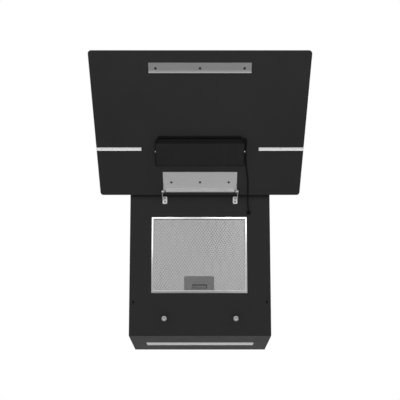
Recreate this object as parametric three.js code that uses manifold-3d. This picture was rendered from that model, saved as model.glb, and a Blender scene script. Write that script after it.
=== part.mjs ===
// An inclined wall-mounted cooker hood of the 60 cm class, with its glass front swung open.
//
// Millimetres, +Z up. The wall is the plane y = 0 and the hood hangs in front of it, towards -Y.
// The origin is on the wall face, midway between the two keyholes that the hood hangs on.
//
// Three nested frames hold the pieces:
//   housing  x across, y from the wall (negative is forward), z up from the underside
//   face     x across, y up the inclined face from its lower edge, z outward from the face
//   panel    x across, y along the glass away from the hinge axis, z off its inner side

import * as THREE from 'three';
import { mergeVertices } from 'three/addons/utils/BufferGeometryUtils.js';
import Module from 'manifold-3d';

const wasm = await Module();
wasm.setup();

// ---------------------------------------------------------------- driving dimensions

const gap = 0.3; // air between two pieces that touch
const housing = { width: 426, depth: 200, faceLength: 446, tilt: 20, sheet: 1.2, hangHeight: 360 };
const glass = { width: 603, length: 438, thickness: 4, corner: 9 };
const hinge = { alongFace: 430, offFace: 32, toGlass: 8, overhang: 16, openAngle: 145.5, boss: 6 };
const filter = { left: -148, right: 143.3, low: 125.3, high: 356.5, back: -8, front: 1.6 };
const filterRim = { bottom: 9.6, others: 7.5 };
const latch = { left: -47.4, right: 42.2, top: 176.4, front: 1.4, back: -0.6 };
const fingerWindow = { left: -24, right: 21, low: 140, high: 151.6 };
const plate = { halfWidth: 110.5, near: 15.5, far: 78.3, sheet: 1.5, pan: 0.5 };
const plateFold = { radius: 0.6, degrees: 90, straight: 9 };
const strip = { halfWidth: 140, near: 376.8, far: 405.2, sheet: 1.5, pan: 0 };
const stripFold = { radius: 12.5, degrees: 38, straight: 0.3 };
const lightBar = { inner: 171, near: 145.8, far: 156.9, proud: 3.7 };
const controlBox = { halfWidth: 130, near: 100, far: 192, seam: 7.7, height: 30, wall: 2 };
const magnet = { x: 105.4, alongFace: 54, radius: 7.5, top: 37.9, height: 7.9, postRadius: 5 };
const grommet = { x: 148.5, alongFace: 368.7, hole: 5.2 };
const lamp = { halfWidth: 168, front: -107, rear: -69, trayTop: 14 };
const scroll = { y: -138, z: 262, small: 86, large: 110, halfWidth: 60, wall: 2.5, inlet: 62 };
const outlet = { y: -185, inner: 72.6, outer: 75, height: 45, flange: 88, rodX: 3.6, rodZ: 10.6 };
const collarScrew = { ring: 81.6, turns: [60, 180, 300], hole: 1.7 };
const jointStrip = { low: 418.8, high: 422.4, thick: 1.9, side: 3 };
const arm = { outer: 114.2, sheet: 1.8, footInner: 100.4, footLow: 396, footHigh: 418, screwX: 107 };
const cableRadius = 2;

const radians = THREE.MathUtils.degToRad;
const tilt = radians(housing.tilt);
const height = housing.faceLength * Math.cos(tilt);
const halfWidth = housing.width / 2;
const openTurn = radians(180 - hinge.openAngle);

// ---------------------------------------------------------------- materials

const finishes = {
  blackSteel: { color: 0x2b2b2b, roughness: 0.55, metalness: 0.3 },
  galvanised: { color: 0xa8aaac, roughness: 0.45, metalness: 0.9 },
  blackGlass: { color: 0x1c1c1c, roughness: 0.12, metalness: 0.0 },
  brightSteel: { color: 0xb4b4b4, roughness: 0.35, metalness: 0.95 },
  filterRim: { color: 0xe2e2e2, roughness: 0.3, metalness: 0.95 },
  filterWeave: { color: 0xa5a5a5, roughness: 0.5, metalness: 0.9 },
  latchGrey: { color: 0x6e6e6e, roughness: 0.6, metalness: 0.0 },
  frosted: { color: 0xdcdcdc, roughness: 0.5, metalness: 0.0 },
  blackPlastic: { color: 0x232323, roughness: 0.5, metalness: 0.0 },
  blackScrew: { color: 0x161616, roughness: 0.45, metalness: 0.7 },
  rubber: { color: 0x141414, roughness: 0.8, metalness: 0.0 },
  whitePlastic: { color: 0xd8d8d4, roughness: 0.5, metalness: 0.0 },
  board: { color: 0x1f4a2c, roughness: 0.6, metalness: 0.0 },
};

// ---------------------------------------------------------------- shape helpers

// A box from its lowest to its highest corner.
function box(x0, x1, y0, y1, z0, z1) {
  const shape = new THREE.BoxGeometry(x1 - x0, y1 - y0, z1 - z0);
  return shape.translate((x0 + x1) / 2, (y0 + y1) / 2, (z0 + z1) / 2);
}

// A flat outline in x and y, given thickness from z0 to z1.
function slab(shape, z0, z1, curveSegments = 6) {
  const options = { depth: z1 - z0, bevelEnabled: false, curveSegments };
  return new THREE.ExtrudeGeometry(shape, options).translate(0, 0, z0);
}

function outlineOf(points) {
  return new THREE.Shape(points.map(([x, y]) => new THREE.Vector2(x, y)));
}

// An outline in y and z, given width from x0 to x1.
function prism(points, x0, x1) {
  const turn = new THREE.Matrix4().makeBasis(
    new THREE.Vector3(0, 1, 0),
    new THREE.Vector3(0, 0, 1),
    new THREE.Vector3(1, 0, 0),
  );
  return slab(outlineOf(points), x0, x1).applyMatrix4(turn);
}

// A rectangle with rounded corners.
function roundedRectangle(x0, x1, y0, y1, radius) {
  const shape = new THREE.Shape();
  shape.moveTo(x0 + radius, y0);
  shape.lineTo(x1 - radius, y0);
  shape.absarc(x1 - radius, y0 + radius, radius, -Math.PI / 2, 0);
  shape.lineTo(x1, y1 - radius);
  shape.absarc(x1 - radius, y1 - radius, radius, 0, Math.PI / 2);
  shape.lineTo(x0 + radius, y1);
  shape.absarc(x0 + radius, y1 - radius, radius, Math.PI / 2, Math.PI);
  shape.lineTo(x0, y0 + radius);
  shape.absarc(x0 + radius, y0 + radius, radius, Math.PI, Math.PI * 1.5);
  return shape;
}

// Points on an arc about (y, z), both ends included.
function arc(y, z, radius, fromDegrees, toDegrees, steps) {
  return Array.from({ length: steps + 1 }, (_, i) => {
    const angle = radians(fromDegrees + ((toDegrees - fromDegrees) * i) / steps);
    return [y + radius * Math.cos(angle), z + radius * Math.sin(angle)];
  });
}

// A turned piece on the z axis. The profile is [radius, z] pairs, running anticlockwise.
function turned(profile, segments = 12) {
  const points = profile.map(([radius, z]) => new THREE.Vector2(radius, z));
  return new THREE.LatheGeometry(points, segments).rotateX(Math.PI / 2);
}

function rod(radius, z0, z1, segments = 12) {
  return turned([[0, z0], [radius, z0], [radius, z1], [0, z1]], segments);
}

// The same turned piece with its axis along x, or along y.
function alongX(shape) {
  return shape.rotateY(Math.PI / 2);
}

function alongY(shape) {
  return shape.rotateX(-Math.PI / 2);
}

// A pan-head screw on the z axis: its head sits on z = 0 and its shank reaches down.
function screw(headRadius, headHeight, shankRadius, shankLength) {
  return turned([
    [0, -shankLength],
    [shankRadius, -shankLength],
    [shankRadius, 0],
    [headRadius, 0],
    [headRadius, headHeight * 0.5],
    [headRadius * 0.75, headHeight],
    [0, headHeight],
  ]);
}

// A convex solid between two outlines with the same number of points.
function loft(lowOutline, z0, highOutline, z1) {
  const count = lowOutline.length;
  const corners = [...lowOutline.map((p) => [...p, z0]), ...highOutline.map((p) => [...p, z1])];
  const faces = [];
  for (let i = 0; i < count; i++) {
    const next = (i + 1) % count;
    faces.push(i, next, count + next, i, count + next, count + i);
  }
  for (let i = 1; i < count - 1; i++) {
    faces.push(0, i + 1, i, count, count + i, count + i + 1);
  }
  const shape = new THREE.BufferGeometry();
  shape.setAttribute('position', new THREE.Float32BufferAttribute(corners.flat(), 3));
  shape.setIndex(faces);
  return shape;
}

function mirrored(shape) {
  const copy = mergeVertices(positionsOnly(shape.clone()));
  copy.scale(-1, 1, 1);
  const index = copy.getIndex().array;
  for (let i = 0; i < index.length; i += 3) {
    [index[i + 1], index[i + 2]] = [index[i + 2], index[i + 1]];
  }
  return copy;
}

// ---------------------------------------------------------------- joining and cutting

function positionsOnly(shape) {
  shape.deleteAttribute('normal');
  shape.deleteAttribute('uv');
  return shape;
}

function solid(shape) {
  const merged = mergeVertices(positionsOnly(shape.clone()));
  return new wasm.Manifold(new wasm.Mesh({
    numProp: 3,
    vertProperties: Float32Array.from(merged.getAttribute('position').array),
    triVerts: Uint32Array.from(merged.getIndex().array),
  }));
}

function shapeOf(manifold) {
  const mesh = manifold.getMesh();
  const shape = new THREE.BufferGeometry();
  shape.setAttribute('position', new THREE.BufferAttribute(mesh.vertProperties, 3));
  shape.setIndex(new THREE.BufferAttribute(mesh.triVerts, 1));
  return shape;
}

function join(...shapes) {
  return shapeOf(shapes.map(solid).reduce((whole, piece) => whole.add(piece)));
}

function cut(shape, ...tools) {
  return shapeOf(tools.map(solid).reduce((whole, tool) => whole.subtract(tool), solid(shape)));
}

// ---------------------------------------------------------------- frames

const hood = new THREE.Group();
const housingFrame = new THREE.Group();
housingFrame.position.z = -housing.hangHeight;
hood.add(housingFrame);

const faceFrame = new THREE.Group();
faceFrame.position.y = -housing.depth;
faceFrame.rotation.x = Math.PI / 2 + tilt;
housingFrame.add(faceFrame);

const panelFrame = new THREE.Group();
panelFrame.position.set(0, hinge.alongFace, hinge.offFace);
panelFrame.rotation.x = openTurn;
faceFrame.add(panelFrame);

function add(frame, name, shape, finish) {
  const mesh = new THREE.Mesh(shape, new THREE.MeshStandardMaterial(finishes[finish]));
  mesh.name = name;
  frame.add(mesh);
}

// The same piece on both sides. The shape is the right-hand one.
function addPair(frame, name, shape, finish) {
  add(frame, `${name}_left`, mirrored(shape), finish);
  add(frame, `${name}_right`, shape, finish);
}

// How far forward a plane lies at height z, when it is off the face by the distance given.
function planeY(z, offFace) {
  const alongFace = (z + offFace * Math.sin(tilt)) / Math.cos(tilt);
  return -housing.depth - alongFace * Math.sin(tilt) - offFace * Math.cos(tilt);
}

// The glass's own measures, from its hinge edge and off its inner side, in the panel frame.
function along(distance) {
  return distance - hinge.overhang;
}

function off(distance) {
  return distance - hinge.toGlass;
}

// ---------------------------------------------------------------- housing panels

const behindFace = -housing.sheet - gap;
const betweenSides = halfWidth - housing.sheet - gap;
const faceScrew = { x: 201.3, alongFace: 99.8, hole: 2.4 };
const armScrewsAlong = [402.8, 413];
const armScrewHole = 2.2;

function frontPanel() {
  const clear = { sides: 0.8, top: 1.2 };
  const holes = [
    box(
      filter.left - clear.sides,
      filter.right + clear.sides,
      filter.low - clear.sides,
      filter.high + clear.top,
      -5,
      5,
    ),
    rod(grommet.hole, -5, 5).translate(grommet.x, grommet.alongFace, 0),
  ];
  for (const side of [-1, 1]) {
    const screwHole = rod(faceScrew.hole, -5, 5, 8);
    holes.push(screwHole.translate(side * faceScrew.x, faceScrew.alongFace, 0));
    for (const alongFace of armScrewsAlong) {
      holes.push(rod(armScrewHole, -5, 5, 8).translate(side * arm.screwX, alongFace, 0));
    }
  }
  return cut(box(-halfWidth, halfWidth, 0, housing.faceLength, -housing.sheet, 0), ...holes);
}

function sidePanel() {
  const flange = 14;
  const outline = [
    [planeY(0, behindFace), 0],
    [0, 0],
    [0, height],
    [planeY(height, behindFace), height],
  ];
  const inside = halfWidth - housing.sheet - flange;
  const nearOuter = halfWidth - housing.sheet / 2;
  const low = 6;
  const frontFlange = box(
    inside,
    nearOuter,
    low,
    housing.faceLength - low,
    behindFace - housing.sheet,
    behindFace,
  );
  frontFlange.applyMatrix4(faceFrame.matrix);
  const rearFlange = box(
    inside,
    nearOuter,
    behindFace - housing.sheet,
    behindFace,
    low,
    height - low,
  );
  const plain = join(prism(outline, halfWidth - housing.sheet, halfWidth), frontFlange, rearFlange);
  const screwHole = rod(faceScrew.hole, -9, 9, 8);
  screwHole.translate(faceScrew.x, faceScrew.alongFace, 0).applyMatrix4(faceFrame.matrix);
  return cut(plain, screwHole);
}

function bottomPanel() {
  const sheet = box(
    -betweenSides,
    betweenSides,
    planeY(0, behindFace),
    behindFace,
    0,
    housing.sheet,
  );
  const slot = box(
    -lamp.halfWidth - gap,
    lamp.halfWidth + gap,
    lamp.front - gap,
    lamp.rear + gap,
    -5,
    5,
  );
  return cut(sheet, slot);
}

const gland = { x: 170, y: -60, hole: 8 };

// Where the collar's screws go through its flange and the top sheet.
function collarScrewPlaces() {
  return collarScrew.turns.map((degrees) => {
    const turn = radians(degrees);
    return [collarScrew.ring * Math.cos(turn), outlet.y + collarScrew.ring * Math.sin(turn)];
  });
}

function collarScrewHoles() {
  return collarScrewPlaces().map(([x, y]) =>
    rod(collarScrew.hole, height - 5, height + 5, 8).translate(x, y, 0));
}

function topPanel() {
  const sheet = box(
    -betweenSides,
    betweenSides,
    planeY(height, behindFace) + 0.5,
    behindFace,
    height - housing.sheet,
    height,
  );
  const duct = rod(outlet.inner, height - 5, height + 5, 48).translate(0, outlet.y, 0);
  const cableHole = rod(gland.hole, height - 5, height + 5).translate(gland.x, gland.y, 0);
  return cut(sheet, duct, cableHole, ...collarScrewHoles());
}

const keyhole = { x: 150, head: 6.5, drop: 12, slot: 3 };
const lowerFixing = { z: 40, radius: 4 };

function backPanel() {
  const sheet = box(
    -betweenSides,
    betweenSides,
    -housing.sheet,
    0,
    housing.sheet + gap,
    height - housing.sheet - gap,
  );
  const holes = [];
  for (const side of [-1, 1]) {
    const x = side * keyhole.x;
    const z = housing.hangHeight;
    holes.push(alongY(rod(keyhole.head, -5, 5, 24)).translate(x, 0, z - keyhole.drop));
    holes.push(box(x - keyhole.slot, x + keyhole.slot, -5, 5, z - keyhole.drop, z + keyhole.slot));
    holes.push(alongY(rod(lowerFixing.radius, -5, 5, 20)).translate(x, 0, lowerFixing.z));
  }
  return cut(sheet, ...holes);
}

faceFrame.updateMatrix();
add(faceFrame, 'front_panel', frontPanel(), 'blackSteel');
addPair(housingFrame, 'side_panel', sidePanel(), 'blackSteel');
add(housingFrame, 'bottom_panel', bottomPanel(), 'blackSteel');
add(housingFrame, 'top_panel', topPanel(), 'blackSteel');
add(housingFrame, 'back_panel', backPanel(), 'galvanised');

function faceJointStrip() {
  const reach = halfWidth - jointStrip.side;
  return box(-reach, reach, jointStrip.low, jointStrip.high, gap, gap + jointStrip.thick);
}

add(faceFrame, 'joint_strip', faceJointStrip(), 'rubber');

const faceScrewShape = screw(3.6, 1.8, 1.9, 6).translate(faceScrew.x, faceScrew.alongFace, gap);
addPair(faceFrame, 'face_screw', faceScrewShape, 'blackScrew');

// ---------------------------------------------------------------- worktop light

function lightDiffuser() {
  const lens = box(-lamp.halfWidth, lamp.halfWidth, lamp.front, lamp.rear, 0.2, 2);
  const shoulder = 2;
  const lid = box(
    -lamp.halfWidth - shoulder,
    lamp.halfWidth + shoulder,
    lamp.front - shoulder,
    lamp.rear + shoulder,
    housing.sheet + gap,
    3.2,
  );
  return join(lens, lid);
}

function lightTray() {
  const wall = 1;
  const room = 3;
  const outer = box(
    -lamp.halfWidth - room - wall,
    lamp.halfWidth + room + wall,
    lamp.front - room - wall,
    lamp.rear + room + wall,
    housing.sheet + gap,
    lamp.trayTop,
  );
  const inner = box(
    -lamp.halfWidth - room,
    lamp.halfWidth + room,
    lamp.front - room,
    lamp.rear + room,
    0,
    lamp.trayTop - wall,
  );
  return cut(outer, inner);
}

function lightBoard() {
  const middle = (lamp.front + lamp.rear) / 2;
  const top = lamp.trayTop - 1 - gap;
  const pieces = [box(-160, 160, middle - 8, middle + 8, top - 1.4, top)];
  const count = 8;
  for (let i = 0; i < count; i++) {
    const x = -140 + (280 * i) / (count - 1);
    pieces.push(box(x - 2.5, x + 2.5, middle - 2.5, middle + 2.5, top - 2.3, top - 1));
  }
  return join(...pieces);
}

add(housingFrame, 'light_diffuser', lightDiffuser(), 'frosted');
add(housingFrame, 'light_tray', lightTray(), 'galvanised');
add(housingFrame, 'light_board', lightBoard(), 'whitePlastic');

// ---------------------------------------------------------------- blower

// The scroll's side outline grows from the tongue, round the back and under, to the front,
// and then runs straight up to the outlet.
function scrollOutline(grow, top) {
  const tongue = 80;
  const turn = 260;
  const steps = 20;
  const points = [];
  for (let i = 0; i <= steps; i++) {
    const radius = scroll.small + ((scroll.large - scroll.small) * i) / steps + grow;
    const angle = radians(tongue - (turn * i) / steps);
    points.push([scroll.y + radius * Math.cos(angle), scroll.z + radius * Math.sin(angle)]);
  }
  points.push([scroll.y - scroll.large - grow, top]);
  points.push([points[0][0], top]);
  return points.reverse();
}

function blowerHousing() {
  const top = height - housing.sheet - gap;
  const outer = prism(scrollOutline(scroll.wall, top), -scroll.halfWidth, scroll.halfWidth);
  const inside = scroll.halfWidth - scroll.wall;
  const cavity = prism(scrollOutline(0, top + 5), -inside, inside);
  const inlets = alongX(rod(scroll.inlet, -80, 80, 24)).translate(0, scroll.y, scroll.z);
  return cut(outer, cavity, inlets);
}

const impellerSize = { radius: 78, hub: 14, bore: 4.5, left: -50, right: 48, blades: 18 };

function impeller() {
  const { radius, hub, bore, left, right, blades } = impellerSize;
  const backDisc = rod(radius, left, left + 1.6, 24);
  const hubTube = rod(hub, left, left + 20);
  const frontRing = turned(
    [[radius - 13, right - 2], [radius, right - 2], [radius, right], [radius - 13, right],
      [radius - 13, right - 2]],
    24,
  );
  const pieces = [backDisc, hubTube, frontRing];
  for (let i = 0; i < blades; i++) {
    const blade = box(radius - 12, radius - 1.5, -0.6, 0.6, left + 0.8, right - 1);
    blade.translate(-radius + 6, 0, 0).rotateZ(radians(35)).translate(radius - 6, 0, 0);
    pieces.push(blade.rotateZ((i * 2 * Math.PI) / blades));
  }
  const whole = cut(join(...pieces), rod(bore, left - 5, left + 30));
  return alongX(whole).translate(0, scroll.y, scroll.z);
}

const motorSize = { radius: 38, left: -122, right: -62.6, shaft: 4, bore: 4.6 };

function motor() {
  const { radius, left, right, bore } = motorSize;
  const profile = [
    [bore, left],
    [radius - 14, left],
    [radius - 10, left + 8],
    [radius, left + 12],
    [radius, right - 10],
    [radius - 8, right - 5],
    [radius - 8, right],
    [bore, right],
    [bore, left],
  ];
  return alongX(turned(profile, 20)).translate(0, scroll.y, scroll.z);
}

function motorShaft() {
  const shape = rod(motorSize.shaft, motorSize.left + 3, impellerSize.left + 22);
  return alongX(shape).translate(0, scroll.y, scroll.z);
}

function motorBracket() {
  const left = -scroll.halfWidth - gap - 2;
  const right = -scroll.halfWidth - gap;
  const reach = scroll.inlet + 12;
  const bars = join(
    box(left, right, -14, 14, -reach, reach),
    box(left, right, -reach, reach, -14, 14),
  );
  const shaftHole = alongX(rod(9, left - 5, right + 5));
  return cut(bars, shaftHole).translate(0, scroll.y, scroll.z);
}

add(housingFrame, 'blower_housing', blowerHousing(), 'whitePlastic');
add(housingFrame, 'impeller', impeller(), 'blackPlastic');
add(housingFrame, 'motor_bracket', motorBracket(), 'galvanised');
add(housingFrame, 'motor', motor(), 'galvanised');
add(housingFrame, 'motor_shaft', motorShaft(), 'brightSteel');

// ---------------------------------------------------------------- outlet and flaps

function outletCollar() {
  const low = height + gap;
  const { inner, outer, flange, rodX, rodZ } = outlet;
  const profile = [
    [inner, low],
    [flange, low],
    [flange, low + 1.5],
    [outer, low + 1.5],
    [outer, low + outlet.height],
    [inner, low + outlet.height],
    [inner, low],
  ];
  const rodReach = inner + 1;
  const rods = [-rodX, rodX].map((x) =>
    alongY(rod(1.4, -rodReach, rodReach, 8)).translate(x, 0, low + rodZ));
  const collar = join(turned(profile, 48), ...rods).translate(0, outlet.y, 0);
  return cut(collar, ...collarScrewHoles());
}

function flap() {
  const thickness = 1.4;
  const radius = outlet.inner - 2.1;
  const centre = height + gap + outlet.rodZ;
  const disc = rod(radius, centre - thickness / 2, centre + thickness / 2, 64);
  const half = cut(disc, box(-100, outlet.rodX, -100, 100, centre - 9, centre + 9));
  const knuckle = alongY(rod(2.6, -radius + 1, radius - 1)).translate(outlet.rodX, 0, centre);
  const bore = alongY(rod(1.85, -90, 90)).translate(outlet.rodX, 0, centre);
  return cut(join(half, knuckle), bore).translate(0, outlet.y, 0);
}

function mainsGland() {
  const low = height + gap;
  const bore = 3.6;
  const profile = [
    [bore, low - 8],
    [gland.hole - 0.6, low - 8],
    [gland.hole - 0.6, low],
    [12, low],
    [12, low + 4],
    [9, low + 5],
    [8, low + 13],
    [5.5, low + 15],
    [bore, low + 15],
    [bore, low - 8],
  ];
  return turned(profile).translate(gland.x, gland.y, 0);
}

add(housingFrame, 'outlet_collar', outletCollar(), 'whitePlastic');
collarScrewPlaces().forEach(([x, y], i) => {
  const shape = screw(3, 1.4, 1.4, 5).translate(x, y, height + gap + 1.5 + gap);
  add(housingFrame, `collar_screw_${i + 1}`, shape, 'brightSteel');
});
addPair(housingFrame, 'backdraft_flap', flap(), 'whitePlastic');
add(housingFrame, 'mains_gland', mainsGland(), 'blackPlastic');
const electronicsOutline = roundedRectangle(104, 196, -112, -24, 6);
add(housingFrame, 'electronics_box', slab(electronicsOutline, 336, 396, 6), 'blackPlastic');

// ---------------------------------------------------------------- grommet and magnets

function cableGrommet() {
  const bore = 2.6;
  const profile = [
    [bore, -3.5],
    [6.8, -3.5],
    [6.8, behindFace],
    [4.6, behindFace],
    [4.6, gap],
    [7, gap],
    [6.4, 2.3],
    [bore, 2.3],
    [bore, -3.5],
  ];
  return turned(profile).translate(grommet.x, grommet.alongFace, 0);
}

function magnetCup() {
  const { radius, top } = magnet;
  const low = top - magnet.height;
  const profile = [
    [0, low],
    [radius - 0.8, low],
    [radius, low + 0.8],
    [radius, top - 0.6],
    [radius - 0.6, top],
    [2.4, top],
    [1.4, top - 1.4],
    [0, top - 1.4],
  ];
  return turned(profile, 24).translate(magnet.x, magnet.alongFace, 0);
}

function magnetPost() {
  const post = rod(magnet.postRadius, gap, magnet.top - magnet.height - gap, 6);
  return post.translate(magnet.x, magnet.alongFace, 0);
}

add(faceFrame, 'cable_grommet', cableGrommet(), 'rubber');
addPair(faceFrame, 'magnet_post', magnetPost(), 'blackScrew');
addPair(faceFrame, 'magnet', magnetCup(), 'brightSteel');

// ---------------------------------------------------------------- filter cassette

function filterFrame() {
  const { left, right, low, high, back, front } = filter;
  const { bottom, others } = filterRim;
  const bevel = 1.2;
  const outline = (inset) => [
    [left + inset, low + inset],
    [right - inset, low + inset],
    [right - inset, high - inset],
    [left + inset, high - inset],
  ];
  const body = join(
    loft(outline(0), back, outline(0), front - bevel),
    loft(outline(0), front - bevel - 0.01, outline(bevel), front),
  );
  const window = box(left + others, right - others, low + bottom, high - others, -20, 20);
  const tongueSlot = box(-15, 12, low - 5, low + bottom + 5, -5.2, -2.4);
  const middle = (left + right) / 2;
  const hook = { x: 90, halfWidth: 10, reach: 6, back: -4.4, front: -3 };
  const hooks = [-hook.x, hook.x].map((x) =>
    box(
      middle + x - hook.halfWidth,
      middle + x + hook.halfWidth,
      high - 3,
      high + hook.reach,
      hook.back,
      hook.front,
    ));
  return join(cut(body, window, tongueSlot), ...hooks);
}

function filterMesh() {
  const inset = filterRim.others + gap;
  const sheet = box(
    filter.left + inset,
    filter.right - inset,
    filter.low + filterRim.bottom + gap,
    filter.high - inset,
    -3.3,
    -0.9,
  );
  const roomForLatch = box(-36, 33, filter.low, 172, -10, 10);
  return cut(sheet, roomForLatch);
}

const slider = { left: -30, right: 27, low: 135.6, back: -3.9, front: -2.4 };
const sliderTab = { left: -25, right: 19.4, low: 138.6, high: 149.2 };

// The cover, with its finger window, a groove above it and two rails behind for the slider.
function latchBody() {
  const low = filter.low + filterRim.bottom + gap;
  const { left, right, top, front, back } = latch;
  const corner = 4;
  const outline = roundedRectangle(left, right, low - 2 * corner, top, corner);
  const groove = { high: fingerWindow.high + 5.8, width: 1.2, depth: 0.6 };
  const cover = cut(
    slab(outline, back, front, 6),
    box(left - 5, right + 5, low - 30, low, -5, 5),
    box(fingerWindow.left, fingerWindow.right, fingerWindow.low, fingerWindow.high, -5, 5),
    box(
      fingerWindow.left,
      fingerWindow.right + 1.5,
      groove.high - groove.width,
      groove.high,
      front - groove.depth,
      5,
    ),
  );
  const rail = { sheet: 1.6, high: 168, back: -4.4 };
  const railLeft = slider.left - gap;
  const railRight = slider.right + gap;
  return join(
    cover,
    box(railLeft - rail.sheet, railLeft, low + 1, rail.high, rail.back, back + 0.1),
    box(railRight, railRight + rail.sheet, low + 1, rail.high, rail.back, back + 0.1),
  );
}

// The foot between the rails, the plate behind the window, its finger ridge, and the tongue.
function latchSlider() {
  const { left, right, low, back, front } = slider;
  const tongue = { left: -12, right: 9, tip: 118.5, back: -4.4, front: -3 };
  const ridgeLow = fingerWindow.low + 0.8;
  return join(
    box(left, right, low, sliderTab.low, back, front),
    box(sliderTab.left, sliderTab.right, low + 1, sliderTab.high, back, front),
    box(fingerWindow.left + 1.5, sliderTab.right - 0.8, ridgeLow, ridgeLow + 2, front - 0.2, 0.9),
    box(tongue.left, tongue.right, tongue.tip, low + 6, tongue.back, tongue.front),
  );
}

add(faceFrame, 'filter_frame', filterFrame(), 'filterRim');
add(faceFrame, 'filter_mesh', filterMesh(), 'filterWeave');
add(faceFrame, 'latch_body', latchBody(), 'latchGrey');
add(faceFrame, 'latch_slider', latchSlider(), 'latchGrey');

// ---------------------------------------------------------------- hinge

const armHigh = { backEdge: -12, frontEdge: -24, bend: -15, shoulder: -14 };
const pin = { hole: 2.9, shank: 2.4, head: 4, headHeight: 1.6 };
const earSheet = 1.8;

// A foot flat on the face and an upright that swans forward to the pivot, clear of the glass.
function hingeArm() {
  const { alongFace, offFace, boss } = hinge;
  const openDegrees = 180 - hinge.openAngle;
  const outline = [
    [alongFace + armHigh.frontEdge, gap],
    [alongFace + armHigh.backEdge, gap],
    [alongFace + armHigh.backEdge, offFace + armHigh.bend],
    ...arc(alongFace, offFace, boss, openDegrees - 90, openDegrees + 90, 14),
    [alongFace + armHigh.frontEdge, offFace + armHigh.shoulder],
  ];
  const upright = prism(outline, arm.outer - arm.sheet, arm.outer);
  const foot = slab(
    roundedRectangle(arm.footInner, arm.outer, arm.footLow, arm.footHigh, 3.5),
    gap,
    gap + arm.sheet,
    5,
  );
  const pinHole = alongX(rod(pin.hole, 90, 130, 16)).translate(0, alongFace, offFace);
  const screwHoles = armScrewsAlong.map((y) =>
    rod(armScrewHole, -5, 5, 8).translate(arm.screwX, y, 0));
  return cut(join(upright, foot), pinHole, ...screwHoles);
}

function hingePin() {
  const inner = plate.halfWidth - earSheet - gap;
  const outer = arm.outer + gap;
  const profile = [
    [0, inner - pin.headHeight],
    [pin.head, inner - pin.headHeight],
    [pin.head, inner],
    [pin.shank, inner],
    [pin.shank, outer],
    [pin.head, outer],
    [pin.head - 0.8, outer + pin.headHeight],
    [0, outer + pin.headHeight],
  ];
  return alongX(turned(profile)).translate(0, hinge.alongFace, hinge.offFace);
}

addPair(faceFrame, 'hinge_arm', hingeArm(), 'brightSteel');
addPair(faceFrame, 'hinge_pin', hingePin(), 'brightSteel');
armScrewsAlong.forEach((y, i) => {
  const shape = screw(3.2, 1.5, 1.8, 6).translate(arm.screwX, y, gap + arm.sheet + gap);
  addPair(faceFrame, `hinge_arm_screw_${i + 1}`, shape, 'brightSteel');
});

// ---------------------------------------------------------------- glass panel

function glassPanel() {
  const edge = glass.width / 2;
  const outline = roundedRectangle(-edge, edge, along(0), along(glass.length), glass.corner);
  const pane = slab(outline, off(-glass.thickness), off(0), 4);
  const notch = box(
    lightBar.inner - gap,
    edge + 10,
    along(lightBar.near),
    along(lightBar.far),
    -30,
    10,
  );
  return cut(pane, notch, mirrored(notch));
}

function accentLight() {
  const low = along(lightBar.near) + gap;
  const high = along(lightBar.far) - gap;
  const outline = [
    [low, off(-glass.thickness)],
    [high, off(-glass.thickness)],
    [high, off(0)],
    [high - 1.6, off(lightBar.proud)],
    [low + 1.6, off(lightBar.proud)],
    [low, off(0)],
  ];
  return prism(outline, lightBar.inner, glass.width / 2);
}

const plateScrews = { xs: [-86, 0, 86], along: 44, hole: 2.2 };
const stripScrews = { xs: [-121, 0, 121], along: 390, hole: 2.2 };

// A flat plate on the glass, its near edge folded up off the glass, with its screw holes and
// perhaps a shallow pan.
function foldedPlate(size, fold, screws, foldHalfWidth) {
  const low = off(gap);
  const high = low + size.sheet;
  const outerRadius = fold.radius + size.sheet;
  const turn = radians(fold.degrees);
  const foldY = along(size.near) + outerRadius * Math.sin(turn) + fold.straight * Math.cos(turn);
  const foldZ = high + fold.radius;
  const end = 270 - fold.degrees;
  const edgePoint = (radius) => [
    foldY + radius * Math.cos(radians(end)) - fold.straight * Math.cos(turn),
    foldZ + radius * Math.sin(radians(end)) + fold.straight * Math.sin(turn),
  ];
  const folded = prism([
    [along(size.far), low],
    [along(size.far), high],
    ...arc(foldY, foldZ, fold.radius, 270, end, 6),
    edgePoint(fold.radius),
    edgePoint(outerRadius),
    ...arc(foldY, foldZ, outerRadius, end, 270, 6),
  ], -foldHalfWidth, foldHalfWidth);
  const sheet = box(-size.halfWidth, size.halfWidth, foldY, along(size.far), low, high);
  const cuts = screws.xs.map((x) =>
    rod(screws.hole, -30, 10, 8).translate(x, along(screws.along), 0));
  if (size.pan > 0) {
    const border = { sides: 10, near: 7, far: 5.5 };
    const reach = size.halfWidth - border.sides;
    cuts.push(box(
      -reach,
      reach,
      along(size.near + border.near),
      along(size.far - border.far),
      low + size.sheet - size.pan,
      low + size.sheet + 5,
    ));
  }
  return cut(join(sheet, folded), ...cuts);
}

function hingePlate() {
  const low = off(gap);
  const earFar = 24;
  const foldHalfWidth = 104;
  const earOutline = [
    [along(plate.near), low],
    [earFar, low],
    [earFar, low + plate.sheet],
    ...arc(0, 0, hinge.boss, 65, 235, 14),
  ];
  const ear = prism(earOutline, plate.halfWidth - earSheet, plate.halfWidth);
  const pinHole = alongX(rod(pin.hole, 106, 130, 16));
  const boredEar = cut(ear, pinHole);
  const folded = foldedPlate(plate, plateFold, plateScrews, foldHalfWidth);
  return join(folded, boredEar, mirrored(boredEar));
}

function addScrewsOnGlass(name, screws, size) {
  const sheet = size.sheet - size.pan;
  screws.xs.forEach((x, i) => {
    const shape = screw(3.3, 1.4, 1.8, sheet + gap - 0.1);
    shape.translate(x, along(screws.along), off(gap) + sheet + gap);
    add(panelFrame, `${name}_${i + 1}`, shape, 'blackScrew');
  });
}

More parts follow.
